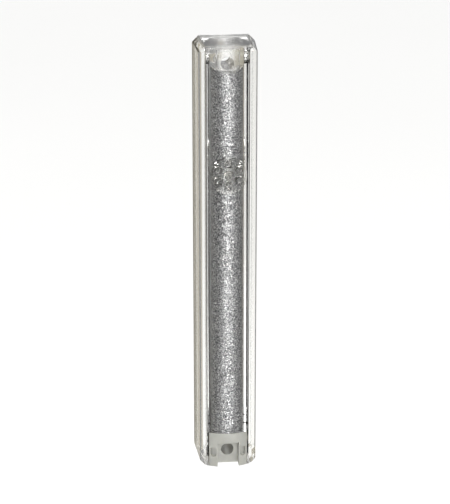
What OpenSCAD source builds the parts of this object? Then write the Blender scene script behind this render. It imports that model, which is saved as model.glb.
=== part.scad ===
// Clear mezuzah case with a glitter-lined scroll chamber and a pull-out bottom stopper.
// Millimetres. The case is upright: +Z runs up the doorpost, the wall face is the plane y = 0, and the
// front looks along -Y. The origin is the centre of the wall face.

/* [Case] */
// Height of the case at its wall face
case_h = 150; // [149:0.5:165]
// Height of the case across its flat front
front_h = 149.6; // [148:0.2:150]
// Width of the case at its wall face
case_w = 20.9; // [20.9:0.1:24]
// Width of the case across its flat front
front_w = 19.4; // [19.4:0.1:21]
// Depth from the wall face to the flat front
case_d = 14.8; // [14.6:0.1:15]
// Width of a cut corner at the wall face
corner_w = 2.1; // [1.6:0.1:2.3]
// Height of a cut corner at the wall face
corner_h = 2.2; // [1.8:0.1:2.6]
// Width of the bevel round the flat front
front_bevel = 0.45; // [0.3:0.05:0.6]
// Thickness of the moulded walls
wall = 1.3; // [1.1:0.1:1.4]

/* [Scroll column] */
// Half the width of the column that holds the scroll chamber
column_r = 7.3; // [7.1:0.05:7.35]
// Radius of the column's curved front band
band_r = 15; // [14:0.5:18]
// Height of the band's crown above the flat front
band_rise = 1.7; // [1.6:0.05:1.8]
// Radius of the scroll chamber's bore
bore_r = 4.55; // [4.5:0.05:4.8]
// Distance from the top of the case to the top of the chamber
boss_h = 5.2; // [5:0.1:5.6]
// Radius of the round screw boss that stands in the top of the chamber
boss_r = 6; // [5.8:0.1:6.1]

/* [Screws] */
// Radius of the screw holes
screw_r = 2.2; // [1.8:0.05:2.25]
// Distance from the top of the case to the upper screw
upper_screw_drop = 6.7; // [6.5:0.1:7]
// Distance from the bottom of the case to the lower screw
lower_screw_rise = 5.3; // [5.2:0.1:5.6]
// Depth of the screw seats below the flat front
seat_depth = 2; // [1.6:0.05:2.2]
// Width of the upper screw pocket
pocket_w = 7.4; // [7:0.1:7.6]

/* [Rear cover] */
// Depth of the rear cover, from the wall face to its joint line
cover_d = 4; // [3.6:0.1:4.4]
// Height of the locating lip above the joint line
lip_h = 1.5; // [1:0.1:2]

/* [Stopper] */
// Height of the stopper's exposed body
stopper_h = 12.9; // [12.6:0.1:14]
// Height of the stopper's spigot inside the chamber
spigot_h = 4; // [3.6:0.1:5]
// Width of the screw notch between the stopper's legs
notch_w = 7.4; // [7:0.1:7.6]
// Height of the screw notch
notch_h = 9.1; // [8.9:0.1:9.6]

/* [Emblem] */
// Height of the emblem's centre above the middle of the case
emblem_z = 31.5; // [-30:0.5:40]
// Number of round petals in the emblem
petals = 6; // [5:1:6]

/* [Scroll] */
// Height of the rolled parchment
scroll_h = 120; // [100:1:120]
// Radius of the open core of the roll
scroll_core_r = 1.9; // [1.6:0.1:1.9]
// Turns in the roll
scroll_turns = 6; // [4:1:6]

/* [Hidden] */
$fn = 96;
eps = 0.01;

// Depths are measured from the wall face towards the front.
axis_depth = 9.3;
seat_plane = case_d - seat_depth;
band_front = case_d + band_rise;
column_back = axis_depth - column_r;

// Heights, from the middle of the case.
top_z = case_h / 2;
bottom_z = -case_h / 2;
front_top_z = front_h / 2;
front_bottom_z = -front_h / 2;
chamber_top = top_z - boss_h;
boss_z = chamber_top + 1.5;
column_top = top_z - wall;
tube_bottom = bottom_z + stopper_h;
upper_screw_z = top_z - upper_screw_drop;
lower_screw_z = bottom_z + lower_screw_rise;

// Walls around the stopper's socket and above the upper screw pocket
socket_wall = 0.6;
end_wall = 0.9;

// Glitter liner
liner_gap = 0.1;
liner_t = 0.3;
liner_r = bore_r - liner_gap;
liner_seam = 6;

// Stopper
stopper_gap = 0.12;
spigot_r = liner_r - liner_t - 0.3;
rib_r = liner_r - liner_t - 0.1;
dimple_r = 1;
dimple_h = 3.6;
dimple_depth = 1.1;
dimple_x = 5.15;

// Scroll
sheet_t = 0.22;
sheet_pitch = 0.28;
scroll_bottom = tube_bottom + spigot_h + 0.2;
steps_per_turn = 24;

// Rear cover
seam = 0.06;
lip_gap = 0.1;
lip_t = 0.9;
column_gap = 0.15;
pad_r = 4;

// Emblem
emblem_gap = 0.16;
emblem_r = 6.2;
disc_t = 0.6;
rim_t = 1.4;
rim_w = 0.7;
petal_ring = 3.7;
petal_r = 1.8;
petal_rise = 1.9;
petal_floor = 0.6;
recess_r = 0.85;
centre_r = 1.9;
centre_rise = 2.4;
draft = 0.45;

// Outline of the form in one direction: x is across, y the depth. It narrows towards the front and ends in
// a small bevel.
module taper(rear_size, front_size, inset, depth) {
    rear = rear_size / 2 - inset;
    slope = (rear_size - front_size) / 2 / case_d;
    front = rear - slope * depth;
    polygon([[-rear, 0], [rear, 0], [front, front_bevel - depth], [front - front_bevel, -depth],
        [front_bevel - front, -depth], [-front, front_bevel - depth]]);
}

// Block that takes the upper right corner off the tapering form, following its taper.
module corner_block(inset) {
    angle = atan(corner_h / corner_w);
    taper_x = (case_w - front_w) / 2 / case_d;
    taper_z = (case_h - front_h) / 2 / case_d;
    lean = atan(taper_x * sin(angle) + taper_z * cos(angle));
    reach = 12;
    translate([(case_w - corner_w) / 2, 0, (case_h - corner_h) / 2])
        rotate([0, angle, 0])
            rotate([lean, 0, 0])
                translate([-reach, -2 * reach, -inset])
                    cube([2 * reach, 3 * reach, reach]);
}

// The case's outer form, from the wall face to a depth, drawn in by an inset on every side.
module case_form(inset, depth) {
    difference() {
        intersection() {
            translate([0, 0, -case_h])
                linear_extrude(height = 2 * case_h)
                    taper(case_w, front_w, inset, depth);
            translate([-case_w, 0, 0])
                rotate([0, 90, 0])
                    rotate([0, 0, 180])
                        mirror([0, 1, 0])
                            linear_extrude(height = 2 * case_w)
                                taper(case_h, front_h, inset, depth);
        }
        for (side = [0, 1])
            for (end = [0, 1])
                mirror([side, 0, 0])
                    mirror([0, 0, end])
                        corner_block(inset);
    }
}

// A slab across the whole case between two depths.
module depth_slab(from, to) {
    translate([-case_w, -to, -case_h])
        cube([2 * case_w, to - from, 2 * case_h]);
}

// The part of the outer form between two depths.
module form_slice(inset, from, to) {
    intersection() {
        case_form(inset, case_d);
        depth_slab(from, to);
    }
}

// Section of the scroll column, drawn in at the sides and at the front: round at the back, straight sides,
// and a gently curved front band.
module column_section(side_inset, front_inset) {
    half = column_r - side_inset;
    union() {
        translate([0, -axis_depth])
            circle(r = half);
        intersection() {
            translate([-half, -2 * axis_depth])
                square([2 * half, axis_depth]);
            translate([0, band_r - band_front])
                circle(r = band_r - front_inset);
        }
    }
}

// A length of the scroll column.
module column(side_inset, front_inset, from, to) {
    translate([0, 0, from])
        linear_extrude(height = to - from)
            column_section(side_inset, front_inset);
}

// A cylinder on the scroll chamber's axis.
module on_axis(r, from, to) {
    translate([0, -axis_depth, from])
        cylinder(r = r, h = to - from);
}

// A screw hole through the case, between two depths.
module screw_hole(z, from, to) {
    translate([0, -from, z])
        rotate([90, 0, 0])
            cylinder(r = screw_r, h = to - from);
}

// Round boss across the top of the chamber, which the upper screw passes through.
module screw_boss(gap) {
    translate([0, 0, boss_z])
        rotate([90, 0, 0])
            cylinder(r = boss_r + gap, h = 2 * band_front);
}

// The scroll chamber, arched at the top around the screw boss.
module chamber() {
    difference() {
        on_axis(bore_r, tube_bottom - 1, chamber_top);
        screw_boss(0);
    }
}

// The pocket that the upper screw's head sits in, open to the front and rounded at its lower corners.
module upper_pocket() {
    corner = 1.6;
    floor_z = upper_screw_z - screw_r - 0.15;
    height = front_top_z - end_wall - floor_z;
    translate([0, -seat_plane, floor_z])
        rotate([90, 0, 0])
            linear_extrude(height = band_front)
                union() {
                    translate([-pocket_w / 2, corner])
                        square([pocket_w, height - corner]);
                    translate([-pocket_w / 2 + corner, 0])
                        square([pocket_w - 2 * corner, 2 * corner]);
                    for (side = [-1, 1])
                        translate([side * (pocket_w / 2 - corner), corner])
                            circle(r = corner);
                }
}

// The stopper's socket in the foot of the column, open to the front and below.
module stopper_socket() {
    column(socket_wall, -1, bottom_z - 1, tube_bottom);
}

// Front moulding of the clear housing: side walls, flat front, scroll column and upper screw boss in one.
module front_shell() {
    color([0.86, 0.87, 0.86, 0.35])
        difference() {
            union() {
                difference() {
                    form_slice(0, cover_d, case_d);
                    form_slice(wall, cover_d - 1, case_d - wall);
                }
                column(0, 0, front_bottom_z, column_top - column_gap);
                intersection() {
                    column(0, 0, column_top - 2, front_top_z);
                    depth_slab(cover_d, band_front + 1);
                }
            }
            chamber();
            stopper_socket();
            upper_pocket();
            for (z = [upper_screw_z, lower_screw_z])
                screw_hole(z, 0, band_front);
        }
}

// Shallow clear tray that closes the housing at the wall, with a locating lip and two screw pads.
module rear_cover() {
    color([0.84, 0.85, 0.84, 0.35])
        difference() {
            union() {
                difference() {
                    union() {
                        difference() {
                            form_slice(0, 0, cover_d - seam);
                            form_slice(wall, wall, cover_d + 1);
                        }
                        difference() {
                            form_slice(wall + lip_gap, wall - eps, cover_d + lip_h);
                            form_slice(wall + lip_gap + lip_t, wall - 1, cover_d + lip_h + 1);
                        }
                    }
                    column(-column_gap, -column_gap, bottom_z - 1, column_top);
                }
                for (z = [upper_screw_z, lower_screw_z])
                    translate([0, -wall + eps, z])
                        rotate([90, 0, 0])
                            cylinder(r = pad_r, h = column_back - wall - stopper_gap);
            }
            for (z = [upper_screw_z, lower_screw_z])
                screw_hole(z, -1, cover_d + 1);
        }
}

// Rolled glitter sheet that lines the chamber, with its seam at the back and arched around the screw boss.
module glitter_liner() {
    color([0.55, 0.56, 0.58])
        difference() {
            translate([0, -axis_depth, tube_bottom + liner_gap])
                rotate([0, 0, 90 + liner_seam / 2])
                    rotate_extrude(angle = 360 - liner_seam)
                        translate([liner_r - liner_t, 0])
                            square([liner_t, chamber_top - tube_bottom - 2 * liner_gap]);
            screw_boss(liner_gap);
        }
}

// Point of the roll at a turn count, on a face of the sheet.
function roll_point(turn, offset) =
    let (r = scroll_core_r + turn * sheet_pitch + offset)
    [r * cos(360 * turn), r * sin(360 * turn)];

// Blank parchment rolled into a spiral.
module parchment_scroll() {
    steps = scroll_turns * steps_per_turn;
    inner = [for (i = [0:steps]) roll_point(i / steps_per_turn, 0)];
    outer = [for (i = [steps:-1:0]) roll_point(i / steps_per_turn, sheet_t)];
    color([0.87, 0.8, 0.66])
        translate([0, -axis_depth, scroll_bottom])
            linear_extrude(height = scroll_h)
                polygon(concat(inner, outer));
}

// Slot-shaped fingernail recess in one leg of the stopper.
module grip_dimple(side) {
    lean = asin(dimple_x / band_r);
    rise = dimple_h / 2 - dimple_r;
    translate([0, band_r - band_front, lower_screw_z + 0.4])
        rotate([0, 0, side * lean])
            translate([0, dimple_depth - band_r, 0])
                rotate([90, 0, 0]) {
                    for (end = [-1, 1])
                        translate([0, end * rise, 0])
                            cylinder(r = dimple_r, h = 2 * dimple_depth);
                    translate([-dimple_r, -rise, 0])
                        cube([2 * dimple_r, 2 * rise, 2 * dimple_depth]);
                }
}

// Milky plastic stopper: ribbed spigot, shouldered body, and two legs either side of the lower screw seat.
module stopper() {
    tip = 0.6;
    rib_h = 0.8;
    color([0.74, 0.74, 0.7])
        difference() {
            union() {
                column(socket_wall + stopper_gap, 0, front_bottom_z, tube_bottom - liner_gap);
                on_axis(spigot_r, tube_bottom - 1, tube_bottom + spigot_h - tip);
                translate([0, -axis_depth, tube_bottom + spigot_h - tip])
                    cylinder(r1 = spigot_r, r2 = spigot_r - tip, h = tip);
                for (rise = [0.8, 2.2])
                    on_axis(rib_r, tube_bottom + rise, tube_bottom + rise + rib_h);
            }
            translate([-notch_w / 2, -band_front - 1, bottom_z - 1])
                cube([notch_w, band_front + 1 - seat_plane, notch_h + 1]);
            screw_hole(lower_screw_z, 0, band_front);
            for (side = [-1, 1])
                grip_dimple(side);
        }
}

// Round drafted peg beside the emblem's centre, between two heights above the curve of the band.
module emblem_peg(x, z, r_low, r_high, from, to) {
    translate([0, band_r - band_front, emblem_z + z])
        rotate([0, 0, asin(x / band_r)])
            translate([0, -band_r, 0])
                rotate([90, 0, 0])
                    translate([0, 0, from])
                        cylinder(r1 = r_low, r2 = r_high, h = to - from);
}

// A cylinder wall that follows the curve of the front band at a height above it.
module band_layer(from, to) {
    translate([0, band_r - band_front, emblem_z - 10])
        difference() {
            cylinder(r = band_r + to, h = 20);
            translate([0, 0, -1])
                cylinder(r = band_r + from, h = 22);
        }
}

// A round disc of the emblem, seen from the front.
module emblem_cylinder(r) {
    translate([0, -axis_depth, emblem_z])
        rotate([90, 0, 0])
            cylinder(r = r, h = 12);
}

// Clear rosette that hugs the curve of the band: rimmed disc, round cupped petals and a centre stud.
module front_emblem() {
    color([0.9, 0.9, 0.9, 0.4])
        difference() {
            union() {
                intersection() {
                    emblem_cylinder(emblem_r);
                    band_layer(emblem_gap, disc_t);
                }
                intersection() {
                    difference() {
                        emblem_cylinder(emblem_r);
                        emblem_cylinder(emblem_r - rim_w);
                    }
                    band_layer(emblem_gap, rim_t);
                }
                for (i = [0:petals - 1])
                    emblem_peg(petal_ring * sin(360 * i / petals), petal_ring * cos(360 * i / petals),
                        petal_r, petal_r - draft, -1, petal_rise);
                emblem_peg(0, 0, centre_r, centre_r - draft, -1, centre_rise);
            }
            for (i = [0:petals - 1])
                emblem_peg(petal_ring * sin(360 * i / petals), petal_ring * cos(360 * i / petals),
                    recess_r - 0.1, recess_r, petal_floor, petal_rise + 1);
            translate([0, band_r - band_front, emblem_z - 11])
                cylinder(r = band_r + emblem_gap, h = 22);
        }
}

front_shell();
rear_cover();
glitter_liner();
parchment_scroll();
stopper();
front_emblem();
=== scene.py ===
"""Clear mezuzah case with a glitter-lined scroll tube, in metres, in the CAD model's frame."""

import math
import random

import bmesh
import bpy
from mathutils import Matrix, Vector

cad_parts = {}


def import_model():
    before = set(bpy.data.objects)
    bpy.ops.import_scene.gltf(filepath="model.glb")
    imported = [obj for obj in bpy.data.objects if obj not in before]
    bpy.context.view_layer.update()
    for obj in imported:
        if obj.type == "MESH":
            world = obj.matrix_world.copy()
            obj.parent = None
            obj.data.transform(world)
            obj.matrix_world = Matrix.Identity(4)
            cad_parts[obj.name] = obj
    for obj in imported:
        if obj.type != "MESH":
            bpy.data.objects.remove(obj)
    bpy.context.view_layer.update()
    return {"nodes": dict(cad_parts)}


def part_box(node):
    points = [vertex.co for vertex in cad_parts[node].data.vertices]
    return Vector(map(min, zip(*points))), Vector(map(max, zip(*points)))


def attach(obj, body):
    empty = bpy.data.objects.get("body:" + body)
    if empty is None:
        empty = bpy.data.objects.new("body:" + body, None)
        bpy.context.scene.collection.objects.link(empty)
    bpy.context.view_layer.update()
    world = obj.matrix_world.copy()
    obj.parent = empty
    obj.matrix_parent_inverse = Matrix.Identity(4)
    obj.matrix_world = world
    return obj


# Driving dimensions, in metres.
AXIS_Y = -0.0093            # depth of the scroll chamber's axis
COAT_R = 0.00459            # radius of the glitter coat, pressed slightly into the chamber's wall
COAT_SIDES = 96             # faces round the coat
COAT_STEPS = 40             # faces up it
ARCH_R = 0.0062             # radius of the arch that the glitter leaves round the screw boss
ARCH_Z = 0.0713             # height of the arch's centre
FLAKE_R = 0.00010           # radius of one glitter flake
FLAKE_LIFT = 0.00004        # height of the flakes above the coat
FLAKE_TILT = 0.35           # spread of the flakes' tilt, in radians
FLAKE_COUNT = 24000
FLAKE_CELLS = 4600.0        # scale of the cells that tell one flake of the coat from the next

# Camera, at the photograph's viewing angle.
CAMERA_AIM = Vector((-0.0003, -0.0080, 0.0016))
CAMERA_AZIMUTH = -6.05      # degrees, negative is to the left of the case
CAMERA_ELEVATION = 19.6     # degrees
CAMERA_DISTANCE = 0.65
CAMERA_LENS = 136.9         # millimetres on a 36 mm sensor

# Smoky tint of the clear plastic, which shows only along its edges and through its solid ends.
BODY_TINT = (0.50, 0.485, 0.42)
CASE_DENSITY = 10.0         # absorption per metre
EMBLEM_DENSITY = 300.0      # the same for the emblem, which is thin
PLASTIC_IOR = 1.49
WAVINESS = 0.02             # strength of the flow waves in the clear plastic's surface
FROST_START = 0.0742        # height above and below the middle where the frosted ends begin
END_FROST = 0.32            # roughness added there
POCKET_FLOOR = 0.0655       # height where the upper screw pocket begins
POCKET_SIDE = 0.0038        # half its width
POCKET_FROST = 0.20         # roughness added in it

# Studio, in metres. Each flag stands on the floor and faces sideways.
FLOOR_SIZE = 6.0
FLOOR_Z = -0.26
TAN_FLAG = (-0.06, 0.03, 0.6, 0.5)          # side, nearest and farthest depth, top
LEFT_FLAG = (-0.20, -0.66, -0.02, 0.6)
RIGHT_FLAG = (0.16, -0.26, 0.60, 0.6)
KEY_SIZE = (0.9, 0.5)
KEY_PLACE = (0.35, -0.5, 0.8)
KEY_POWER = 2.6                             # watts
STRIP_SIZE = (0.34, 0.40)
STRIP_PLACE = (0.03, -0.60, 0.20)
STRIP_POWER = 3.6
LIGHT_AIM = (0.0, -0.01, 0.0)

SEED = 7


# ---------------------------------------------------------------- node helpers

def new_material(name):
    """A node material with an empty tree, its Principled shader and its output."""
    mat = bpy.data.materials.new(name)
    mat.use_nodes = True
    tree = mat.node_tree
    tree.nodes.clear()
    out = tree.nodes.new("ShaderNodeOutputMaterial")
    shader = tree.nodes.new("ShaderNodeBsdfPrincipled")
    tree.links.new(shader.outputs["BSDF"], out.inputs["Surface"])
    return mat, tree, shader


def noise(tree, scale, detail, rough=0.5, stretch=(1.0, 1.0, 1.0)):
    """A noise texture in object space, stretched per axis."""
    coord = tree.nodes.new("ShaderNodeTexCoord")
    mapping = tree.nodes.new("ShaderNodeMapping")
    mapping.inputs["Scale"].default_value = stretch
    tex = tree.nodes.new("ShaderNodeTexNoise")
    tex.inputs["Scale"].default_value = scale
    tex.inputs["Detail"].default_value = detail
    tex.inputs["Roughness"].default_value = rough
    tree.links.new(coord.outputs["Object"], mapping.inputs["Vector"])
    tree.links.new(mapping.outputs["Vector"], tex.inputs["Vector"])
    return tex


def ramp(tree, source, stops):
    """A colour ramp fed by a value, with (position, colour) stops."""
    node = tree.nodes.new("ShaderNodeValToRGB")
    elements = node.color_ramp.elements
    while len(elements) < len(stops):
        elements.new(0.5)
    for element, (position, colour) in zip(elements, stops):
        element.position = position
        element.color = (*colour, 1.0)
    tree.links.new(source, node.inputs["Fac"])
    return node


def bump(tree, shader, source, strength, distance):
    """Feeds a height into the shader's normal."""
    node = tree.nodes.new("ShaderNodeBump")
    node.inputs["Strength"].default_value = strength
    node.inputs["Distance"].default_value = distance
    tree.links.new(source, node.inputs["Height"])
    tree.links.new(node.outputs["Normal"], shader.inputs["Normal"])


def math_node(tree, operation, first, second=None):
    """A math node between a socket and a socket or a number."""
    node = tree.nodes.new("ShaderNodeMath")
    node.operation = operation
    for socket, value in zip(node.inputs, (first, second)):
        if isinstance(value, (int, float)):
            socket.default_value = value
        elif value is not None:
            tree.links.new(value, socket)
    return node.outputs["Value"]


# ---------------------------------------------------------------- materials

def frost(tree, haze):
    """Adds fine frost to a haze value at the case's two ends and in its upper screw pocket."""
    coord = tree.nodes.new("ShaderNodeTexCoord")
    split = tree.nodes.new("ShaderNodeSeparateXYZ")
    tree.links.new(coord.outputs["Object"], split.inputs["Vector"])
    side = math_node(tree, "ABSOLUTE", split.outputs["X"])
    height = math_node(tree, "ABSOLUTE", split.outputs["Z"])
    ends = math_node(tree, "MULTIPLY", math_node(tree, "GREATER_THAN", height, FROST_START), END_FROST)
    above = math_node(tree, "GREATER_THAN", split.outputs["Z"], POCKET_FLOOR)
    inside = math_node(tree, "MULTIPLY", above, math_node(tree, "LESS_THAN", side, POCKET_SIDE))
    pocket = math_node(tree, "MULTIPLY", inside, POCKET_FROST)
    return math_node(tree, "ADD", haze, math_node(tree, "MAXIMUM", ends, pocket))


def clear_plastic(name, tint, density):
    """Polished moulded acrylic: clear, faintly smoky, with slight flow waves along its length."""
    mat, tree, shader = new_material(name)
    shader.inputs["IOR"].default_value = PLASTIC_IOR
    shader.inputs["Transmission Weight"].default_value = 1.0
    flow = noise(tree, scale=90.0, detail=2.0, rough=0.4, stretch=(1.0, 1.0, 0.22))
    pale = tuple(min(1.0, c * 1.015) for c in tint)
    colour = ramp(tree, flow.outputs["Fac"], [(0.3, tint), (0.7, pale)])
    tree.links.new(colour.outputs["Color"], shader.inputs["Base Color"])
    haze = ramp(tree, flow.outputs["Fac"], [(0.35, (0.012,) * 3), (0.75, (0.035,) * 3)])
    tree.links.new(frost(tree, haze.outputs["Color"]), shader.inputs["Roughness"])
    bump(tree, shader, flow.outputs["Fac"], strength=WAVINESS, distance=0.0004)
    body = tree.nodes.new("ShaderNodeVolumeAbsorption")
    body.inputs["Color"].default_value = (*BODY_TINT, 1.0)
    body.inputs["Density"].default_value = density
    tree.links.new(body.outputs["Volume"], tree.nodes["Material Output"].inputs["Volume"])
    return mat


def glitter(name, base, dark, tilt, rough):
    """Metallic flakes, each facing its own way and with its own brightness."""
    mat, tree, shader = new_material(name)
    nodes, links = tree.nodes, tree.links
    coord = nodes.new("ShaderNodeTexCoord")
    cells = nodes.new("ShaderNodeTexVoronoi")
    cells.inputs["Scale"].default_value = FLAKE_CELLS
    links.new(coord.outputs["Object"], cells.inputs["Vector"])
    split = nodes.new("ShaderNodeSeparateColor")
    links.new(cells.outputs["Color"], split.inputs["Color"])
    tone = ramp(tree, split.outputs["Blue"], [(0.15, dark), (0.6, base), (0.9, (1.0, 1.0, 1.0))])
    links.new(tone.outputs["Color"], shader.inputs["Base Color"])
    shift = nodes.new("ShaderNodeVectorMath")
    shift.operation = "SUBTRACT"
    shift.inputs[1].default_value = (0.5, 0.5, 0.5)
    links.new(cells.outputs["Color"], shift.inputs[0])
    spread = nodes.new("ShaderNodeVectorMath")
    spread.operation = "SCALE"
    spread.inputs["Scale"].default_value = tilt
    links.new(shift.outputs["Vector"], spread.inputs[0])
    geometry = nodes.new("ShaderNodeNewGeometry")
    lean = nodes.new("ShaderNodeVectorMath")
    lean.operation = "ADD"
    links.new(geometry.outputs["Normal"], lean.inputs[0])
    links.new(spread.outputs["Vector"], lean.inputs[1])
    unit = nodes.new("ShaderNodeVectorMath")
    unit.operation = "NORMALIZE"
    links.new(lean.outputs["Vector"], unit.inputs[0])
    links.new(unit.outputs["Vector"], shader.inputs["Normal"])
    shader.inputs["Metallic"].default_value = 0.9
    shader.inputs["Roughness"].default_value = rough
    return mat


def milky_plastic():
    """Translucent milky plastic with a faint satin grain."""
    mat, tree, shader = new_material("milky_plastic")
    cloud = noise(tree, scale=260.0, detail=3.0, rough=0.55)
    colour = ramp(tree, cloud.outputs["Fac"], [(0.3, (0.46, 0.46, 0.425)), (0.7, (0.52, 0.52, 0.48))])
    tree.links.new(colour.outputs["Color"], shader.inputs["Base Color"])
    shader.inputs["Subsurface Weight"].default_value = 0.45
    shader.inputs["Transmission Weight"].default_value = 0.55
    shader.inputs["IOR"].default_value = PLASTIC_IOR
    shader.inputs["Subsurface Radius"].default_value = (1.0, 0.95, 0.8)
    shader.inputs["Subsurface Scale"].default_value = 0.0015
    grain = noise(tree, scale=5200.0, detail=2.0, rough=0.5)
    satin = ramp(tree, grain.outputs["Fac"], [(0.3, (0.30,) * 3), (0.7, (0.42,) * 3)])
    tree.links.new(satin.outputs["Color"], shader.inputs["Roughness"])
    bump(tree, shader, grain.outputs["Fac"], strength=0.15, distance=0.00003)
    return mat


def parchment():
    """Blank cream parchment with soft mottling and a fine fibrous tooth."""
    mat, tree, shader = new_material("parchment")
    mottle = noise(tree, scale=140.0, detail=5.0, rough=0.6, stretch=(1.0, 1.0, 0.5))
    colour = ramp(
        tree, mottle.outputs["Fac"],
        [(0.25, (0.62, 0.50, 0.33)), (0.5, (0.74, 0.64, 0.46)), (0.8, (0.80, 0.72, 0.56))])
    tree.links.new(colour.outputs["Color"], shader.inputs["Base Color"])
    shader.inputs["Roughness"].default_value = 0.72
    tooth = noise(tree, scale=3800.0, detail=4.0, rough=0.6, stretch=(1.0, 1.0, 0.35))
    bump(tree, shader, tooth.outputs["Fac"], strength=0.35, distance=0.00006)
    return mat


def studio_surface(name, colour, rough):
    """A plain matte studio surface with barely visible unevenness."""
    mat, tree, shader = new_material(name)
    tone = noise(tree, scale=2.0, detail=2.0)
    darker = tuple(c * 0.985 for c in colour)
    shade = ramp(tree, tone.outputs["Fac"], [(0.3, darker), (0.7, colour)])
    tree.links.new(shade.outputs["Color"], shader.inputs["Base Color"])
    shader.inputs["Roughness"].default_value = rough
    return mat


# ---------------------------------------------------------------- pieces

def dress(obj, mat):
    """Gives a CAD node its material in every slot."""
    if not obj.material_slots:
        obj.data.materials.append(mat)
    for slot in obj.material_slots:
        slot.material = mat


def arch_height(x, high):
    """Top of the glitter at a distance from the centre line: it arches around the screw boss."""
    if abs(x) >= ARCH_R:
        return high
    return min(high, ARCH_Z - math.sqrt(ARCH_R ** 2 - x ** 2))


def piece_from(bm, name, mat):
    """A new object made from a finished bmesh."""
    mesh = bpy.data.meshes.new(name)
    bm.to_mesh(mesh)
    bm.free()
    obj = bpy.data.objects.new(name, mesh)
    bpy.context.scene.collection.objects.link(obj)
    obj.data.materials.append(mat)
    return obj


def glitter_coat(low, high, mat):
    """The glitter sheet's coated face, pressed into the wall of the chamber so that no air lies between."""
    bm = bmesh.new()
    rows = []
    for i in range(COAT_SIDES):
        angle = 2.0 * math.pi * i / COAT_SIDES
        x = COAT_R * math.cos(angle)
        y = AXIS_Y + COAT_R * math.sin(angle)
        top = arch_height(x, high)
        heights = [low + (top - low) * k / COAT_STEPS for k in range(COAT_STEPS + 1)]
        rows.append([bm.verts.new((x, y, height)) for height in heights])
    for i in range(COAT_SIDES):
        here, there = rows[i], rows[(i + 1) % COAT_SIDES]
        for k in range(COAT_STEPS):
            face = bm.faces.new((here[k], there[k], there[k + 1], here[k + 1]))
            face.smooth = True
    return piece_from(bm, "glitter_coat", mat)


def glitter_flakes(low, high, mat):
    """Small six-sided flakes all over the coat, each with its own tilt and turn."""
    rng = random.Random(SEED)
    bm = bmesh.new()
    for _ in range(FLAKE_COUNT):
        angle = rng.uniform(0.0, 2.0 * math.pi)
        radius = COAT_R + FLAKE_LIFT
        x = radius * math.cos(angle)
        height = rng.uniform(low + FLAKE_R, arch_height(x, high) - 2.0 * FLAKE_R)
        size = FLAKE_R * rng.uniform(0.6, 1.0)
        centre = Vector((x, AXIS_Y + radius * math.sin(angle), height))
        turn = Matrix.Rotation(angle, 4, "Z") @ Matrix.Rotation(math.pi / 2, 4, "Y")
        tilt = Matrix.Rotation(rng.gauss(0.0, FLAKE_TILT), 4, "X") @ Matrix.Rotation(
            rng.gauss(0.0, FLAKE_TILT), 4, "Y")
        spin = Matrix.Rotation(rng.uniform(0.0, math.pi / 3), 4, "Z")
        place = Matrix.Translation(centre) @ turn @ tilt @ spin
        corners = []
        for k in range(6):
            a = math.pi / 3 * k
            corners.append(bm.verts.new(place @ Vector((size * math.cos(a), size * math.sin(a), 0.0))))
        bm.faces.new(corners)
    return piece_from(bm, "glitter_flakes", mat)


# ---------------------------------------------------------------- studio

def panel(name, size, location, aim, mat):
    """A flat studio panel facing a point."""
    bm = bmesh.new()
    w, h = size
    corners = [bm.verts.new((x * w / 2, y * h / 2, 0.0)) for x, y in ((-1, -1), (1, -1), (1, 1), (-1, 1))]
    bm.faces.new(corners)
    obj = piece_from(bm, name, mat)
    obj.location = location
    obj.rotation_euler = (Vector(aim) - Vector(location)).to_track_quat("Z", "Y").to_euler()
    return obj


def make_flag(name, place, mat):
    """An upright panel that shows only in reflections and through the clear plastic."""
    side, near, far, top = place
    bm = bmesh.new()
    corners = [(side, near, FLOOR_Z), (side, far, FLOOR_Z), (side, far, top), (side, near, top)]
    bm.faces.new([bm.verts.new(corner) for corner in corners])
    obj = piece_from(bm, name, mat)
    obj.visible_camera = False
    obj.visible_diffuse = False
    obj.visible_shadow = False
    return obj


def area_light(name, size, location, power):
    """A soft rectangular white light facing the case."""
    data = bpy.data.lights.new(name, "AREA")
    data.shape = "RECTANGLE"
    data.size, data.size_y = size
    data.energy = power
    obj = bpy.data.objects.new(name, data)
    bpy.context.scene.collection.objects.link(obj)
    obj.location = location
    obj.rotation_euler = (Vector(LIGHT_AIM) - Vector(location)).to_track_quat("-Z", "Y").to_euler()


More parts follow.
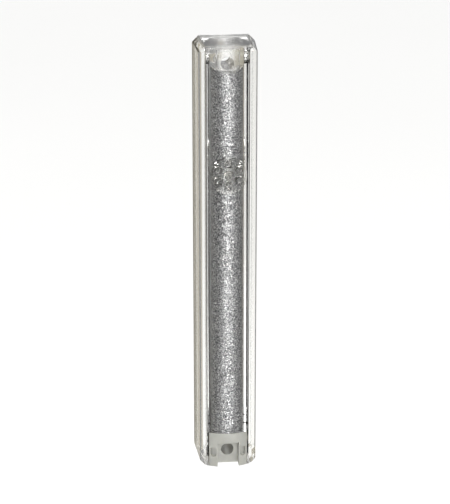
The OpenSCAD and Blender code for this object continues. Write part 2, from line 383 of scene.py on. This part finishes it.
def make_studio():
    """Pale floor, white surroundings, darker flags behind and on either side, and two soft lights."""
    world = bpy.data.worlds.new("studio")
    bpy.context.scene.world = world
    world.use_nodes = True
    background = world.node_tree.nodes["Background"]
    background.inputs["Color"].default_value = (1.0, 1.0, 1.0, 1.0)
    background.inputs["Strength"].default_value = 1.0

    paper = studio_surface("floor_paper", (0.93, 0.93, 0.92), rough=0.8)
    floor = panel("floor", (FLOOR_SIZE, FLOOR_SIZE), (0.0, 0.0, FLOOR_Z), (0.0, 0.0, 1.0), paper)

    grey = studio_surface("grey_cloth", (0.34, 0.34, 0.345), rough=0.9)
    dark = studio_surface("dark_cloth", (0.06, 0.06, 0.06), rough=0.9)
    tan = studio_surface("tan_card", (0.42, 0.39, 0.32), rough=0.9)
    for name, place, mat in (
            ("tan_flag", TAN_FLAG, tan), ("left_flag", LEFT_FLAG, dark), ("right_flag", RIGHT_FLAG, grey)):
        flag = make_flag(name, place, mat)

    area_light("key_light", KEY_SIZE, KEY_PLACE, KEY_POWER)
    area_light("strip_light", STRIP_SIZE, STRIP_PLACE, STRIP_POWER)


def make_camera():
    """A camera at the photograph's viewing angle."""
    az = math.radians(CAMERA_AZIMUTH)
    el = math.radians(CAMERA_ELEVATION)
    outward = Vector((math.sin(az) * math.cos(el), -math.cos(az) * math.cos(el), math.sin(el)))
    data = bpy.data.cameras.new("camera")
    data.sensor_width = 36.0
    data.lens = CAMERA_LENS
    data.clip_start = 0.01
    obj = bpy.data.objects.new("camera", data)
    bpy.context.scene.collection.objects.link(obj)
    obj.location = CAMERA_AIM + outward * CAMERA_DISTANCE
    obj.rotation_euler = outward.to_track_quat("Z", "Y").to_euler()
    bpy.context.scene.camera = obj


# ---------------------------------------------------------------- scene

def main():
    """Loads the CAD frame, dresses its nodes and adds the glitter."""
    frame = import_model()

    bpy.context.scene.view_settings.view_transform = "Standard"
    make_camera()
    make_studio()

    sheet_mat = glitter(
        "glitter_sheet", base=(0.42, 0.42, 0.43), dark=(0.11, 0.11, 0.12), tilt=0.56, rough=0.46)
    flake_mat = glitter(
        "glitter_flake", base=(0.52, 0.53, 0.54), dark=(0.19, 0.19, 0.20), tilt=0.36, rough=0.48)

    finishes = {
        "front_shell": clear_plastic("clear_front", (0.965, 0.965, 0.955), CASE_DENSITY),
        "rear_cover": clear_plastic("clear_rear", (0.955, 0.955, 0.945), CASE_DENSITY),
        "front_emblem": clear_plastic("clear_emblem", (0.97, 0.97, 0.97), EMBLEM_DENSITY),
        "glitter_liner": sheet_mat,
        "stopper": milky_plastic(),
        "parchment_scroll": parchment(),
    }
    for node, finish in finishes.items():
        dress(frame["nodes"][node], finish)

    low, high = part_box("glitter_liner")
    for piece in (glitter_coat(low[2], high[2], sheet_mat), glitter_flakes(low[2], high[2], flake_mat)):
        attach(piece, "case")


main()
